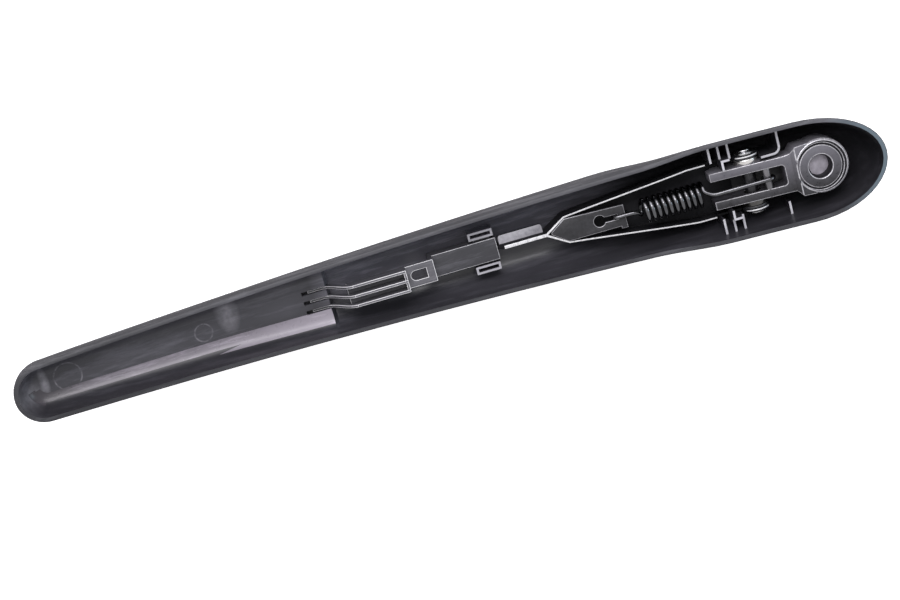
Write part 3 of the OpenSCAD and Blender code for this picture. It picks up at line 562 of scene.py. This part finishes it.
def spring_line():
    """From the hook on the spring pin, along the shank and the coil, to the hook in the plate."""
    pts = arc(PIN_AT, PIN_HOOK_R, -130, 220, 12)
    top = PIN_AT[2] + PIN_HOOK_R
    pts += [Vector((x, y, top - drop))
            for x, y, drop in ((-36, 0, 0.25), (-47.6, 0, 0.55), (-49.6, 0.15, 0.95), (-51, 0.6, 1.8))]
    for i in range(COIL_STEPS + 1):
        a = math.radians(COIL_TURNED + i * COIL_STEP)
        pts.append(Vector((COIL_START - COIL_LENGTH * i / COIL_STEPS, -COIL_R * math.cos(a),
                           COIL_Z + COIL_R * math.sin(a))))
    pts += [Vector(p) for p in ((-82.6, -2.3, -12.0), (-83.2, -1.4, -10.8),
                                (-84.2, -0.4, PLATE_MID + PLATE_HOOK_R - 0.1),
                                (-89.3, 0, PLATE_MID + PLATE_HOOK_R))]
    pts += arc((PLATE_HOOK_X, 0, PLATE_MID), PLATE_HOOK_R, 90, 180, 9)
    pts.append(Vector((-88.3, 0, PLATE_MID - PLATE_HOOK_R - 0.2)))
    return pts


def smooth_line(pts, parts):
    """A smooth curve through the points, each stretch cut into parts."""
    out = []
    for i in range(len(pts) - 1):
        p0, p1, p2, p3 = pts[max(i - 1, 0)], pts[i], pts[i + 1], pts[min(i + 2, len(pts) - 1)]
        d1 = (p2 - p0) * 0.5 * min(1, (p2 - p1).length * 2 / max((p2 - p0).length, 1e-6))
        d2 = (p3 - p1) * 0.5 * min(1, (p2 - p1).length * 2 / max((p3 - p1).length, 1e-6))
        for k in range(parts):
            t = k / parts
            out.append((2 * t**3 - 3 * t**2 + 1) * p1 + (t**3 - 2 * t**2 + t) * d1
                       + (3 * t**2 - 2 * t**3) * p2 + (t**3 - t**2) * d2)
    out.append(pts[-1])
    return out


def wire_mesh(name, line, r, sides):
    """A closed tube along the line, without twist."""
    verts, faces = [], []
    side = Vector((0, 1, 0))
    for i, p in enumerate(line):
        way = (line[min(i + 1, len(line) - 1)] - line[max(i - 1, 0)]).normalized()
        side = (side - way * side.dot(way)).normalized()
        over = way.cross(side)
        verts += [(p + r * (math.cos(math.tau * k / sides) * side + math.sin(math.tau * k / sides) * over)) * MM
                  for k in range(sides)]
    for i in range(len(line) - 1):
        for k in range(sides):
            n = (k + 1) % sides
            a, b = i * sides, (i + 1) * sides
            faces.append((a + k, a + n, b + n, b + k))
    faces.append(tuple(range(sides - 1, -1, -1)))
    faces.append(tuple((len(line) - 1) * sides + k for k in range(sides)))
    me = bpy.data.meshes.new(name)
    me.from_pydata(verts, [], faces)
    me.update()
    o = bpy.data.objects.new(name, me)
    scene.collection.objects.link(o)
    for f in me.polygons:
        f.use_smooth = len(f.vertices) == 4
    return o


spring = wire_mesh("tension_spring_fine", smooth_line(spring_line(), WIRE_PARTS), WIRE_R, WIRE_SIDES)
spring.data.materials.append(WIRE)
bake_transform(spring)
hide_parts("tension_spring")


# ---------- floor and background
FLOOR_SIZE, FLOOR_GAP = 8, 0.0001
FLOOR_LIT, FLOOR_SEEN = (0.3, 0.3, 0.3), (0.9, 0.9, 0.9)
FLOOR_LIFT = 0.62   # lifts the floor to white where it is seen, and leaves its shadow
WORLD_LIT, WORLD_SEEN = (0.36, 0.36, 0.38), (1, 1, 1)
ARM_MIDDLE = -0.17


def tree_math(tree, op, a, b):
    n = tree.nodes.new("ShaderNodeMath")
    n.operation = op
    tree.links.new(a, n.inputs[0])
    if hasattr(b, "is_linked"):
        tree.links.new(b, n.inputs[1])
    else:
        n.inputs[1].default_value = b
    return n.outputs[0]


def seen_in(tree):
    """1 on rays that show the background: to the camera, in gloss and through glass."""
    light_path = tree.nodes.new("ShaderNodeLightPath")
    value = light_path.outputs["Is Camera Ray"]
    for name in ("Is Glossy Ray", "Is Transmission Ray"):
        value = tree_math(tree, "MAXIMUM", value, light_path.outputs[name])
    return value


def two_tones(tree, factor, lit, seen, target):
    """One colour for lighting the object and another where the background is seen."""
    n = tree.nodes.new("ShaderNodeMix")
    n.data_type = "RGBA"
    n.inputs[MIX_A].default_value = (*lit, 1)
    n.inputs[MIX_B].default_value = (*seen, 1)
    tree.links.new(factor, n.inputs[0])
    tree.links.new(n.outputs[MIX_OUT], target)


lo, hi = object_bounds()
bpy.ops.mesh.primitive_plane_add(size=FLOOR_SIZE, location=(ARM_MIDDLE, 0, lo.z - FLOOR_GAP))
floor = bpy.context.object
floor.name = "floor"
floor_mat = bpy.data.materials.new("floor")
floor_mat.use_nodes = True
floor_tree = floor_mat.node_tree
matte = floor_tree.nodes["Principled BSDF"]
matte.inputs["Roughness"].default_value = 0.9
matte.inputs["Specular IOR Level"].default_value = 0.0
matte.inputs["Emission Color"].default_value = (1, 1, 1, 1)
floor_seen = seen_in(floor_tree)
two_tones(floor_tree, floor_seen, FLOOR_LIT, FLOOR_SEEN, matte.inputs["Base Color"])
floor_tree.links.new(tree_math(floor_tree, "MULTIPLY", floor_seen, FLOOR_LIFT),
                     matte.inputs["Emission Strength"])
floor.data.materials.append(floor_mat)

world = bpy.data.worlds.new("world")
scene.world = world
world.use_nodes = True
sky = world.node_tree.nodes["Background"]
two_tones(world.node_tree, seen_in(world.node_tree), WORLD_LIT, WORLD_SEEN, sky.inputs[0])
sky.inputs[1].default_value = 1.0


# ---------- lamps
def area(name, loc, aim, size, size_y, power, colour=(1, 1, 1)):
    d = bpy.data.lights.new(name, "AREA")
    d.energy = power
    d.color = colour
    d.shape = "RECTANGLE"
    d.size = size
    d.size_y = size_y
    o = bpy.data.objects.new(name, d)
    scene.collection.objects.link(o)
    o.location = loc
    o.rotation_euler = (Vector(aim) - Vector(loc)).to_track_quat("-Z", "Y").to_euler()
    return o


area("glint", (-0.20, 0.80, 1.02), (-0.15, 0, 0), 0.9, 0.14, 4.5)
area("key", (-0.30, 1.00, 0.90), (-0.19, 0, 0), 1.5, 0.95, 15, (0.98, 0.95, 1.0))
fill = area("fill", (0.10, -1.15, 0.50), (ARM_MIDDLE, 0, 0), 1.3, 0.5, 10)
area("top", (-0.30, 0.42, 1.30), (ARM_MIDDLE, 0, 0), 0.8, 0.5, 2.5)
area("right", (0.95, 0.10, 0.35), (0, 0, 0), 0.3, 0.5, 2, (0.7, 0.88, 1.0))
fill.visible_glossy = False


# ---------- camera, read from the photo
F_PX, PHOTO_PX, SENSOR = 2000, 900, 36
LEAN, SIDE, ROLL = math.radians(16.0), math.radians(-1.153), math.radians(16.144)
cam_at = Vector((-196.221, 236.969, 871.623)) * MM
fwd = Vector((-math.sin(SIDE), -math.sin(LEAN) * math.cos(SIDE), -math.cos(LEAN) * math.cos(SIDE))).normalized()
x_axis = Vector((1, 0, 0))
level_right = (x_axis - fwd * x_axis.dot(fwd)).normalized()
level_up = level_right.cross(fwd)
right = math.cos(ROLL) * level_right - math.sin(ROLL) * level_up
up = math.sin(ROLL) * level_right + math.cos(ROLL) * level_up
lens = bpy.data.cameras.new("camera")
lens.sensor_width = SENSOR
lens.lens = SENSOR * F_PX / PHOTO_PX
lens.clip_start, lens.clip_end = 0.01, 20
lens.shift_y = 0.00065
cam = bpy.data.objects.new("camera", lens)
scene.collection.objects.link(cam)
cam.matrix_world = Matrix(((right.x, up.x, -fwd.x, cam_at.x), (right.y, up.y, -fwd.y, cam_at.y),
                           (right.z, up.z, -fwd.z, cam_at.z), (0, 0, 0, 1)))
scene.camera = cam

scene.view_settings.view_transform = "Standard"
